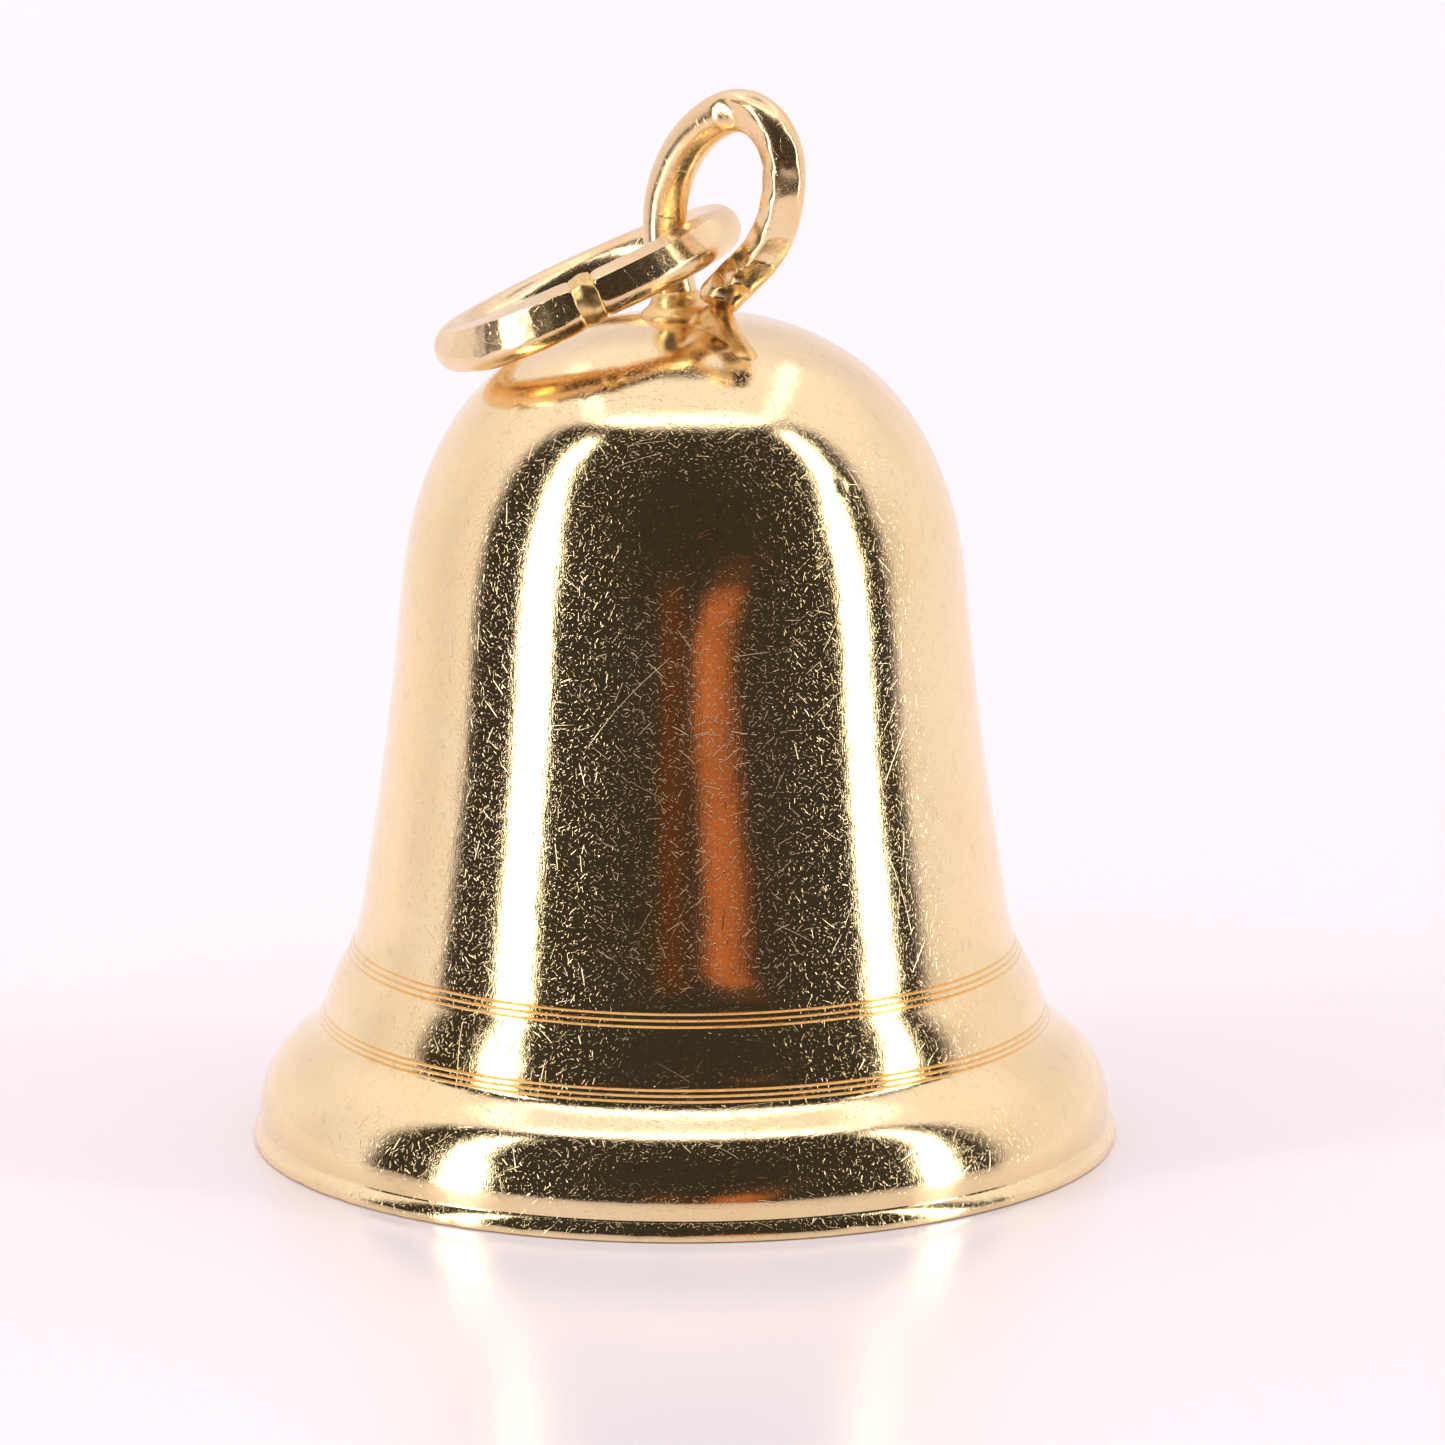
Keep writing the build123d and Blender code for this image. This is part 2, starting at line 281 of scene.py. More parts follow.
def wire(name, start, normal, along, radius, runs, around=36, stepLength=0.09):
    # a round section, then straight runs (length) and bends (radius, degrees) to the right of its way.
    # start in mm, normal is the side the bends turn about, along the first direction
    along = Vector(along).normalized()
    normal = Vector(normal).normalized()
    bpy.ops.object.select_all(action='DESELECT')
    turn = along.to_track_quat('Z', 'Y').to_euler()
    bpy.ops.mesh.primitive_circle_add(vertices=around, radius=radius * mm, fill_type='NGON',
                                      location=Vector(start) * mm, rotation=turn)
    obj = named(name)
    settle(obj)
    place = Vector(start)
    bpy.ops.object.mode_set(mode='EDIT')
    bpy.ops.mesh.select_mode(type='FACE')
    bpy.ops.mesh.select_all(action='SELECT')
    for run in runs:
        if len(run) == 1:
            count = max(1, round(run[0] / stepLength))
            step = along * run[0] / count * mm
            for k in range(count):
                bpy.ops.mesh.extrude_region_move(TRANSFORM_OT_translate={'value': step})
            place = place + along * run[0]
        else:
            bend, degrees = run
            side = normal.cross(along).normalized() * -1
            centre = place + side * bend
            count = max(3, round(math.radians(degrees) * bend / stepLength))
            bpy.ops.mesh.spin(steps=count, angle=math.radians(degrees), center=centre * mm, axis=normal)
            rot = Matrix.Rotation(math.radians(-degrees), 3, normal)
            place = centre + rot @ (place - centre)
            along = rot @ along
    bpy.ops.mesh.select_all(action='SELECT')
    bpy.ops.mesh.select_mode(type='VERT')
    bpy.ops.object.mode_set(mode='OBJECT')
    cleanUp(obj)
    return obj, place, along


def roundEnds(obj, amount, ends):
    # soften the cut ends: points near an end draw in towards the centre line
    mesh = obj.data
    for place, way, radius in ends:
        place = Vector(place) * mm
        way = Vector(way).normalized()
        for v in mesh.vertices:
            deep = (v.co - place).dot(way)
            off = (v.co - place) - way * deep
            if abs(deep) < amount * mm and off.length < radius * 1.3 * mm:
                share = 1 - abs(deep) / (amount * mm)
                v.co -= off * share * 0.35


def flatten(obj, flats):
    # plier marks and filed facets: (place, direction, how far the flat stands from the place, reach), in mm
    co = readPoints(obj.data)
    for place, direction, stand, reach in flats:
        d = np.array(Vector(direction).normalized())
        way = co - np.array(place) * mm
        near = np.clip((1 - np.linalg.norm(way, axis=1) / (reach * mm)) * 2.2, 0, 1)
        over = np.clip(way @ d - stand * mm, 0, None)
        co -= d * (over * near * near * (3 - 2 * near) * 0.95)[:, None]
    writePoints(obj.data, co)


def swell(obj, places):
    # thicker here and there: (place mm, amount mm, reach mm), along the normals
    co, no = readPoints(obj.data), readPoints(obj.data, 'normal')
    for place, amount, reach in places:
        near = np.clip(1 - np.linalg.norm(co - np.array(place) * mm, axis=1) / (reach * mm), 0, 1)
        co += no * (near * near * (3 - 2 * near) * amount * mm)[:, None]
    writePoints(obj.data, co)


# the loop stands in an upright plane, turned about the bell's axis; bends are (radius, degrees)
bail = dict(wire=0.80, turn=43.0, foot=(-0.13, bell['height'] + 0.02 + 0.137), lean=110.0, leg=0.62,
            bends=((2.45, 90.0), (1.0, 103.0), (2.15, 56.0)), tail=1.35,
            flats=((1.65, 4.22), (2.05, 3.92), (2.33, 3.52), (2.46, 3.08), (2.45, 2.62),
                   (2.33, 2.18), (2.12, 1.76), (1.82, 1.36), (1.46, 1.02), (1.08, 0.70)),
            middle=(1.0, 2.6), flatReach=0.80)

bailTurn = math.radians(bail['turn'])
bailAlong = Vector((math.cos(bailTurn), -math.sin(bailTurn), 0))
bailSide = bailAlong.cross(Vector((0, 0, 1)))


def onBail(x, z):
    return bailAlong * x + Vector((0, 0, z))


lean = math.radians(bail['lean'])
bailLoop, tailEnd, tailWay = wire('bailLoop', onBail(*bail['foot']), bailSide,
                                  onBail(math.cos(lean), math.sin(lean)), bail['wire'] / 2,
                                  [(bail['leg'],)] + list(bail['bends']) + [(bail['tail'],)])
roundEnds(bailLoop, 0.16, [(tailEnd, tailWay, 0.4)])
addModifier(bailLoop, 'SUBSURF', levels=1, render_levels=1)
waver(bailLoop, 1.6, 0.012, 8)
bailFlats = []
for x, up in bail['flats']:
    out = Vector((x - bail['middle'][0], 0, up - bail['middle'][1])).normalized()
    outward = bailAlong * out.x + Vector((0, 0, out.z))
    stand, odd = random.uniform(0.345, 0.362), random.uniform(-0.06, 0.06)
    spot = onBail(x, bell['height'] + up)
    bailFlats.append((spot, bailSide * 0.9 - outward * (0.35 + odd), stand, bail['flatReach']))
    bailFlats.append((spot, bailSide * (0.45 + odd) + outward * 0.85, stand + 0.01, bail['flatReach']))
flatten(bailLoop, bailFlats)
smooth(bailLoop, 30)
print('bail loop', len(bailLoop.data.polygons))


# the ring lies on the left shoulder; seam and its gap in degrees round the ring
ring = dict(wire=0.90, mean=2.60, centre=(-1.76627, 0.501135, 15.8276), xWay=(0.909501, 0, 0.415701),
            zWay=(-0.414531, 0.074979, 0.906941), seam=-87.0, seamTurn=5.0)

ringX, ringZ = Vector(ring['xWay']).normalized(), Vector(ring['zWay']).normalized()
ringY = ringZ.cross(ringX)
ringCentre = Vector(ring['centre'])


def onRing(degrees, radius=ring['mean'], up=0.0):
    a = math.radians(degrees)
    return ringCentre + (ringX * math.cos(a) + ringY * math.sin(a)) * radius + ringZ * up


def ringWay(degrees):
    a = math.radians(degrees)
    return ringX * -math.sin(a) + ringY * math.cos(a)


half = ring['seamTurn'] / 2
seamLow, seamHigh = ring['seam'] - half, ring['seam'] + half
jumpRing, *_ = wire('jumpRing', onRing(seamLow), ringZ, ringWay(seamLow) * -1, ring['wire'] / 2,
                    [(ring['mean'], 360 - ring['seamTurn'])], around=40)
roundEnds(jumpRing, 0.12, [(onRing(seamLow), ringWay(seamLow), 0.45),
                           (onRing(seamHigh), ringWay(seamHigh), 0.45)])
addModifier(jumpRing, 'SUBSURF', levels=1, render_levels=1)
waver(jumpRing, 2.2, 0.016, 12)
# thicker left of the seam, then long filed flats along the front, one facing forward and one upward
swell(jumpRing, [(onRing(a) - ringZ * 0.2, 0.04, 1.0) for a in range(-142, -88, 9)])
for a in range(-160, -30, 7):
    front, top = Vector((0.0, -1.0, 0.30)), Vector((-0.25, -0.25, 1.0))
    front, top = [d - ringWay(a) * d.dot(ringWay(a)) for d in (front, top)]
    flatten(jumpRing, [(onRing(a), front, 0.385, 0.85), (onRing(a), top, 0.395, 0.85)])
marks = []
for a in (-140, -165, 100, 60, 150, 20):
    tilt = ringWay(a).cross(ringZ) * random.uniform(-1, 1) + ringZ * random.choice((-1, 1))
    marks.append((onRing(a), tilt, random.uniform(0.40, 0.43), 0.5))
flatten(jumpRing, marks)
push(jumpRing, [(onRing(seamHigh, up=0.4), (0, 0, -1), 0.03, 0.3)])
smooth(jumpRing, 30)
print('jump ring', len(jumpRing.data.polygons))


# the seam's solder: a short collar of the wire, swollen and uneven
collarStart = seamHigh + 2.2
ringSolder, *_ = wire('jumpRingSolder', onRing(collarStart), ringZ, ringWay(collarStart) * -1,
                      ring['wire'] / 2 - 0.012, [(ring['mean'], ring['seamTurn'] + 4.4)],
                      around=40, stepLength=0.03)
seamMiddle = onRing(ring['seam']) * mm
for v in ringSolder.data.vertices:
    way = v.co - seamMiddle
    run = way.dot(ringWay(ring['seam'])) / mm
    off = way - ringWay(ring['seam']) * run * mm
    grow = 0.10 * math.exp(-(run / 0.13) ** 2) + 0.012
    v.co += off * grow
addModifier(ringSolder, 'SUBSURF', levels=1, render_levels=1)
waver(ringSolder, 0.32, 0.020, 5)
smooth(ringSolder, 40)


def blob(name, lumps, voxel, smoothing, seed, rough):
    # flowed solder: round lumps run together by a remesh, then smoothed and made uneven
    bpy.ops.object.select_all(action='DESELECT')
    parts = []
    for place, radius, stretch, way in lumps:
        turn = Vector(way).normalized().to_track_quat('Z', 'Y').to_euler()
        bpy.ops.mesh.primitive_uv_sphere_add(segments=28, ring_count=16, radius=radius * mm,
                                             location=Vector(place) * mm, rotation=turn,
                                             scale=(1, 1, stretch))
        parts.append(bpy.context.active_object)
        settle(parts[-1])
    bpy.ops.object.select_all(action='DESELECT')
    for part in parts:
        part.select_set(True)
    bpy.context.view_layer.objects.active = parts[0]
    bpy.ops.object.join()
    obj = named(name)
    addModifier(obj, 'REMESH', mode='VOXEL', voxel_size=voxel * mm)
    addModifier(obj, 'SMOOTH', factor=0.5, iterations=smoothing)
    waver(obj, rough[0], rough[1], seed)
    smooth(obj, 60)
    return obj


# lumps are (place, radius, stretch, way): three at the leg, a web from the loop's end to the toe, a fillet
solder = dict(voxel=0.04, smoothing=34, toe=(1.06, -1.88, 14.82),
              fillet=((0.36, -0.82, 15.14, 0.34), (0.52, -1.08, 15.08, 0.34),
                      (0.72, -1.38, 15.00, 0.34), (0.58, -0.80, 15.16, 0.32)))
legFoot = onBail(-0.13, 15.42)
toe = Vector(solder['toe'])
lumps = [(legFoot + Vector((0, 0, -0.06)), 0.74, 0.40, (0, 0, 1)),
         (legFoot + Vector((-0.03, 0.03, 0.20)), 0.50, 0.75, (0, 0, 1)),
         (legFoot + Vector((0.30, -0.24, -0.06)), 0.50, 0.5, (0, 0, 1))]
webTop = tailEnd + Vector((0.08, -0.12, -0.30))
for k in np.linspace(0, 1, 11):
    place = webTop + (toe - webTop) * k
    lumps.append((place, 0.35 - 0.03 * math.sin(k * math.pi), 1.15, toe - webTop))
for x, y, z, radius in solder['fillet']:
    lumps.append((Vector((x, y, z)), radius, 0.9, (0, 0, 1)))
bailSolder = blob('bailSolder', lumps, solder['voxel'], solder['smoothing'], 21, (0.9, 0.018))
print('solder', len(bailSolder.data.polygons))


# clapper

clapper = dict(staple=0.70, stapleBend=0.85, stapleTop=14.62, stapleCentre=14.10,
               linkWire=0.60, linkMean=1.20, linkCentre=12.75, eyeMean=0.75, eyeWire=0.60, eyeCentre=11.45,
               rod=0.70, ball=1.40, ballCentre=5.70)

staple, *_ = wire('clapperStaple', (-clapper['stapleBend'], 0, clapper['stapleTop']), (0, 1, 0), (0, 0, -1),
                  clapper['staple'] / 2, [(clapper['stapleTop'] - clapper['stapleCentre'],),
                                          (clapper['stapleBend'], 180.0),
                                          (clapper['stapleTop'] - clapper['stapleCentre'],)])
addModifier(staple, 'SUBSURF', levels=1, render_levels=1)
waver(staple, 1.2, 0.012, 31)
smooth(staple, 30)

padLumps = [((0, 0, 14.86), 1.42, 0.20, (0, 0, 1))]
for side in (-1, 1):
    padLumps.append(((clapper['stapleBend'] * side, 0, 14.66), 0.52, 0.62, (0, 0, 1)))
for k in range(7):
    a = k * 0.9 + 0.3
    padLumps.append(((math.cos(a), math.sin(a), 14.80), random.uniform(0.36, 0.5), 0.5, (0, 0, 1)))
stapleSolder = blob('stapleSolder', padLumps, 0.055, 6, 44, (0.6, 0.03))


def closedRing(name, centre, normal, start, mean, wireSize, seed):
    # a ring bent from wire, its ends butted
    along = Vector(normal).cross(Vector(start)) * -1
    obj, *_ = wire(name, Vector(centre) + Vector(start) * mean, normal, along, wireSize / 2,
                   [(mean, 359.0)], around=32, stepLength=0.08)
    addModifier(obj, 'SUBSURF', levels=1, render_levels=1)
    waver(obj, 1.1, 0.010, seed)
    smooth(obj, 30)
    return obj


clapperLink = closedRing('clapperLink', (0, 0, clapper['linkCentre']), (1, 0, 0), (0, 1, 0),
                         clapper['linkMean'], clapper['linkWire'], 52)

# the rod is turned, its top flattened into the eye
eyeRing, *_ = wire('clapperEye', (0, 0, clapper['eyeCentre'] - clapper['eyeMean']), (0, 1, 0), (1, 0, 0),
                   clapper['eyeWire'] / 2, [(clapper['eyeMean'], 359.5)], around=32, stepLength=0.07)
rodRadius = clapper['rod'] / 2
rodTop = clapper['eyeCentre'] - clapper['eyeMean'] - 0.05
rodLow = clapper['ballCentre'] + clapper['ball'] - 0.30
rodLine = [(0.0, rodTop), (rodRadius * 0.9, rodTop), (rodRadius * 1.1, rodTop - 0.12),
           (rodRadius * 1.12, rodTop - 0.22), (rodRadius * 1.0, rodTop - 0.42)]
for k in np.linspace(0, 1, 24):
    rodLine.append((rodRadius * (0.97 - 0.07 * math.sin(k * math.pi)),
                    rodTop - 0.5 - (rodTop - 0.9 - rodLow) * k))
rodLine += [(rodRadius * 1.0, rodLow + 0.25), (rodRadius * 1.04, rodLow + 0.12),
            (rodRadius * 1.04, rodLow), (0.0, rodLow)]
rodBar = spinOutline('clapperRod', [Vector((x, 0, z)) for x, z in rodLine], 40)
bpy.ops.object.select_all(action='DESELECT')
eyeRing.select_set(True)
rodBar.select_set(True)
bpy.context.view_layer.objects.active = rodBar
bpy.ops.object.join()
clapperRod = named('clapperRod')
addModifier(clapperRod, 'REMESH', mode='VOXEL', voxel_size=0.045 * mm)
addModifier(clapperRod, 'SMOOTH', factor=0.5, iterations=4)
smooth(clapperRod, 50)

# the ball is turned too: a collar where the rod goes in, a fine line round its middle, a flat spot below
ballRadius, ballHeight = clapper['ball'], clapper['ballCentre']
ballLine = [(0.0, ballHeight + ballRadius - 0.06), (rodRadius + 0.03, ballHeight + ballRadius - 0.06),
            (rodRadius + 0.05, ballHeight + ballRadius + 0.02),
            (rodRadius + 0.12, ballHeight + ballRadius + 0.03),
            (rodRadius + 0.17, ballHeight + ballRadius - 0.02)]
for k in np.linspace(24, 88, 36):
    a = math.radians(k)
    ballLine.append((ballRadius * math.sin(a), ballHeight + ballRadius * math.cos(a)))
ballLine += [(ballRadius - 0.002, ballHeight + 0.035), (ballRadius - 0.035, ballHeight + 0.012),
             (ballRadius - 0.035, ballHeight - 0.012), (ballRadius - 0.002, ballHeight - 0.035)]
for k in np.linspace(92, 166, 40):
    a = math.radians(k)
    ballLine.append((ballRadius * math.sin(a), ballHeight + ballRadius * math.cos(a)))
flat = ballHeight + ballRadius * math.cos(math.radians(168.0))
ballLine += [(ballRadius * 0.16, flat - 0.004), (0.0, flat - 0.004)]
clapperBall = spinOutline('clapperBall', [Vector((x, 0, z)) for x, z in ballLine], 96)
push(clapperBall, [((0.3, -1.37, ballHeight - 0.1), (0, 1, 0), 0.05, 0.5),
                   ((-0.1, 1.38, ballHeight + 0.1), (0, -1, 0), 0.05, 0.5)])
smooth(clapperBall, 28)
print('clapper', len(clapperRod.data.polygons), len(clapperBall.data.polygons))


# node groups

def put(tree, kind, settings=None, values=None, wires=None):
    n = tree.nodes.new(kind)
    for key, value in (settings or {}).items():
        setattr(n, key, value)
    for key, value in (values or {}).items():
        n.inputs[key].default_value = value
    for key, socket in (wires or {}).items():
        tree.links.new(socket, n.inputs[key])
    return n


def calc(tree, operation, *terms, clamp=False):
    n = put(tree, 'ShaderNodeMath', {'operation': operation, 'use_clamp': clamp})
    for i, term in enumerate(terms):
        if isinstance(term, (int, float)):
            n.inputs[i].default_value = term
        else:
            tree.links.new(term, n.inputs[i])
    return n.outputs[0]


def vectorCalc(tree, operation, *terms, out=0):
    n = put(tree, 'ShaderNodeVectorMath', {'operation': operation})
    for i, term in enumerate(terms):
        spot = n.inputs['Scale'] if operation == 'SCALE' and i == 1 else n.inputs[i]
        if isinstance(term, (int, float, tuple)):
            spot.default_value = term
        else:
            tree.links.new(term, spot)
    return n.outputs[out]


def ramp(tree, value, low, high, atLow=0.0, atHigh=1.0):
    n = put(tree, 'ShaderNodeMapRange', {'interpolation_type': 'SMOOTHSTEP'}, wires={'Value': value})
    for key, item in (('From Min', low), ('From Max', high), ('To Min', atLow), ('To Max', atHigh)):
        if isinstance(item, (int, float)):
            n.inputs[key].default_value = item
        else:
            tree.links.new(item, n.inputs[key])
    return n.outputs['Result']


def mixColours(tree, base, over, share):
    n = put(tree, 'ShaderNodeMix', {'data_type': 'RGBA'})
    tree.links.new(share, n.inputs[0])
    for socket, item in zip([s for s in n.inputs if s.type == 'RGBA'], (base, over)):
        if isinstance(item, tuple):
            socket.default_value = item
        else:
            tree.links.new(item, socket)
    return [o for o in n.outputs if o.type == 'RGBA'][0]


def noise(tree, where, scale, detail, roughness=0.5):
    return put(tree, 'ShaderNodeTexNoise', {}, {'Scale': scale, 'Detail': detail, 'Roughness': roughness},
               {'Vector': where}).outputs[0]


def newGroup(name, inputs, outputs):
    group = bpy.data.node_groups.new(name, 'ShaderNodeTree')
    for label, kind, value in inputs:
        socket = group.interface.new_socket(label, in_out='INPUT', socket_type=kind)
        if value is not None:
            socket.default_value = value
    for label, kind in outputs:
        group.interface.new_socket(label, in_out='OUTPUT', socket_type=kind)
    return group, group.nodes.new('NodeGroupInput'), group.nodes.new('NodeGroupOutput')


def makeScratches():
    # one short line in each cell, lying in the surface, its own way, length and strength
    t, given, result = newGroup('hairScratches', [
        ('Vector', 'NodeSocketVector', None), ('Normal', 'NodeSocketVector', None),
        ('Cell', 'NodeSocketFloat', 0.001), ('Width', 'NodeSocketFloat', 0.00003),
        ('Share', 'NodeSocketFloat', 0.7), ('Bend', 'NodeSocketFloat', 0.3),
        ('Shift', 'NodeSocketFloat', 0.0)], [('Mask', 'NodeSocketFloat')])
    scaled = vectorCalc(t, 'SCALE', given.outputs['Vector'], calc(t, 'DIVIDE', 1.0, given.outputs['Cell']))
    shift = put(t, 'ShaderNodeCombineXYZ', wires={axis: given.outputs['Shift'] for axis in 'XYZ'})
    moved = vectorCalc(t, 'ADD', scaled, shift.outputs[0])
    cells = put(t, 'ShaderNodeTexVoronoi', {'voronoi_dimensions': '3D', 'feature': 'F1'},
                {'Scale': 1.0, 'Randomness': 1.0}, {'Vector': moved})
    local = vectorCalc(t, 'SUBTRACT', moved, cells.outputs['Position'])
    chance = vectorCalc(t, 'SUBTRACT', cells.outputs['Color'], (0.5, 0.5, 0.5))
    across = vectorCalc(t, 'NORMALIZE', vectorCalc(t, 'CROSS_PRODUCT', given.outputs['Normal'], chance))
    along = vectorCalc(t, 'CROSS_PRODUCT', across, given.outputs['Normal'])
    off = vectorCalc(t, 'DOT_PRODUCT', local, across, out=1)
    run = vectorCalc(t, 'DOT_PRODUCT', local, along, out=1)
    parts = put(t, 'ShaderNodeSeparateXYZ', wires={'Vector': cells.outputs['Color']})
    bow = calc(t, 'MULTIPLY', given.outputs['Bend'], calc(t, 'SUBTRACT', parts.outputs['X'], 0.5))
    bent = calc(t, 'MULTIPLY', calc(t, 'MULTIPLY', run, run), bow)
    off = calc(t, 'ABSOLUTE', calc(t, 'ADD', off, bent))
    width = calc(t, 'DIVIDE', given.outputs['Width'], given.outputs['Cell'])
    width = calc(t, 'MULTIPLY', width, calc(t, 'ADD', 0.35, parts.outputs['Y']))
    line = ramp(t, off, 0.0, width, 1.0, 0.0)
    length = calc(t, 'MULTIPLY', calc(t, 'ADD', 0.15, parts.outputs['Z']), 0.5)
    fade = ramp(t, calc(t, 'ABSOLUTE', run), calc(t, 'MULTIPLY', length, 0.5), length, 1.0, 0.0)
    dice = calc(t, 'FRACT', calc(t, 'MULTIPLY', calc(t, 'ADD', parts.outputs['X'], parts.outputs['Z']), 7.31))
    kept = calc(t, 'LESS_THAN', dice, given.outputs['Share'])
    mask = calc(t, 'MULTIPLY', calc(t, 'MULTIPLY', line, fade), kept)
    strength = calc(t, 'ADD', 0.35, calc(t, 'MULTIPLY', parts.outputs['Y'], 0.65))
    t.links.new(calc(t, 'MULTIPLY', mask, strength), result.inputs['Mask'])
    return t


def makePits():
    # tiny round and oval pits
    t, given, result = newGroup('tinyPits', [
        ('Vector', 'NodeSocketVector', None), ('Cell', 'NodeSocketFloat', 0.0005),
        ('Radius', 'NodeSocketFloat', 0.00004), ('Share', 'NodeSocketFloat', 0.3)],
        [('Mask', 'NodeSocketFloat')])
    scaled = vectorCalc(t, 'SCALE', given.outputs['Vector'], calc(t, 'DIVIDE', 1.0, given.outputs['Cell']))
    cells = put(t, 'ShaderNodeTexVoronoi', {'voronoi_dimensions': '3D', 'feature': 'F1'},
                {'Scale': 1.0, 'Randomness': 1.0}, {'Vector': scaled})
    parts = put(t, 'ShaderNodeSeparateXYZ', wires={'Vector': cells.outputs['Color']})
    radius = calc(t, 'MULTIPLY', calc(t, 'DIVIDE', given.outputs['Radius'], given.outputs['Cell']),
                  calc(t, 'ADD', 0.4, parts.outputs['X']))
    mask = ramp(t, cells.outputs['Distance'], 0.0, radius, 1.0, 0.0)
    kept = calc(t, 'LESS_THAN', parts.outputs['Y'], given.outputs['Share'])
    t.links.new(calc(t, 'MULTIPLY', mask, kept), result.inputs['Mask'])
    return t


def makeTone():
    # gold that is paler where it is rubbed and warmer where it isn't
    t, given, result = newGroup('goldTone', [
        ('Vector', 'NodeSocketVector', None), ('Pale', 'NodeSocketColor', (1, 0.8, 0.5, 1)),
        ('Warm', 'NodeSocketColor', (0.9, 0.6, 0.3, 1)), ('Size', 'NodeSocketFloat', 0.003),
        ('Grime', 'NodeSocketFloat', 0.2)], [('Color', 'NodeSocketColor'), ('Patches', 'NodeSocketFloat')])
    scaled = vectorCalc(t, 'SCALE', given.outputs['Vector'], calc(t, 'DIVIDE', 1.0, given.outputs['Size']))
    share = ramp(t, noise(t, scaled, 1.0, 4.0, 0.55), 0.30, 0.70)
    colour = mixColours(t, given.outputs['Pale'], given.outputs['Warm'], share)
    dirt = calc(t, 'MULTIPLY', ramp(t, noise(t, scaled, 9.0, 3.0, 0.6), 0.56, 0.74), given.outputs['Grime'])
    dark = vectorCalc(t, 'SCALE', colour, calc(t, 'SUBTRACT', 1.0, dirt))
    t.links.new(dark, result.inputs['Color'])
    t.links.new(share, result.inputs['Patches'])
    return t


scratchGroup, pitGroup, toneGroup = makeScratches(), makePits(), makeTone()


def useGroup(tree, group, wires, values=None):
    return put(tree, 'ShaderNodeGroup', {'node_tree': group}, values, wires)


def goldMaterial(name, look):
    material = bpy.data.materials.new(name)
    material.use_nodes = True
    t = material.node_tree
    shader = t.nodes['Principled BSDF']
    shader.inputs['Metallic'].default_value = 1.0
    place = t.nodes.new('ShaderNodeTexCoord')
    where, facing = place.outputs['Object'], place.outputs['Normal']
    tone = useGroup(t, toneGroup, {'Vector': where}, {'Pale': look['pale'], 'Warm': look['warm'],
                                                      'Size': look['patch'], 'Grime': look['grime']})
    lines = None
    for cell, width, share, bend, shift, depth in look['scratches']:
        layer = useGroup(t, scratchGroup, {'Vector': where, 'Normal': facing},
                         {'Cell': cell, 'Width': width, 'Share': share, 'Bend': bend, 'Shift': shift})
        deep = calc(t, 'MULTIPLY', layer.outputs['Mask'], depth)
        lines = deep if lines is None else calc(t, 'MAXIMUM', lines, deep)
    pits = useGroup(t, pitGroup, {'Vector': where}, {'Cell': look['pitCell'], 'Radius': look['pitRadius'],
                                                     'Share': look['pitShare']})
    scaled = vectorCalc(t, 'SCALE', where, 1 / look['grain'])
    grain = noise(t, scaled, 1.0, 5.0, 0.7)
    slow = noise(t, scaled, 0.06, 2.0)
    height = calc(t, 'MULTIPLY', lines, -1.0)
    height = calc(t, 'SUBTRACT', height, calc(t, 'MULTIPLY', pits.outputs['Mask'], look['pitDepth']))
    height = calc(t, 'ADD', height, calc(t, 'MULTIPLY', grain, look['grainDepth']))
    height = calc(t, 'ADD', height, calc(t, 'MULTIPLY', slow, look['slowDepth']))
    # polishing left very fine upright streaks
    drawn = vectorCalc(t, 'MULTIPLY', scaled, look['streakScale'])
    streaks = noise(t, drawn, 1.0, 2.0, 0.6)
    height = calc(t, 'ADD', height, calc(t, 'MULTIPLY', streaks, look['streakDepth']))
    bump = put(t, 'ShaderNodeBump', {}, {'Strength': 1.0, 'Distance': look['bump']}, {'Height': height})
    t.links.new(bump.outputs[0], shader.inputs['Normal'])
    haze = ramp(t, grain, 0.35, 0.70, look['rough'][0], look['rough'][1])
    haze = calc(t, 'ADD', haze, calc(t, 'MULTIPLY', lines, look['lineRough']))
    haze = calc(t, 'ADD', haze, calc(t, 'MULTIPLY', tone.outputs['Patches'], 0.02), clamp=True)
    t.links.new(haze, shader.inputs['Roughness'])
    t.links.new(tone.outputs['Color'], shader.inputs['Base Color'])
    return material


# lengths in metres; each scratch layer is cell, width, share of cells, bend, shift, depth
shellLook = dict(pale=(0.94, 0.745, 0.45, 1), warm=(0.92, 0.70, 0.385, 1), patch=0.0035, grime=0.08,
                 scratches=[(0.0034, 0.000010, 0.6, 0.5, 0.0, 0.55),
                            (0.0013, 0.000009, 0.65, 0.35, 3.7, 0.48),
                            (0.0005, 0.000009, 0.75, 0.25, 7.1, 0.50),
                            (0.00022, 0.000008, 0.7, 0.2, 1.9, 0.50),
                            (0.00010, 0.000007, 0.9, 0.2, 5.3, 0.46)],
                 pitCell=0.00019, pitRadius=0.000019, pitShare=0.5, pitDepth=1.25,
                 grain=0.00003, grainDepth=0.16, streakScale=(1.1, 1.1, 0.10), streakDepth=0.34,
                 slowDepth=1.2, bump=0.0000040, rough=(0.035, 0.095), lineRough=0.30)
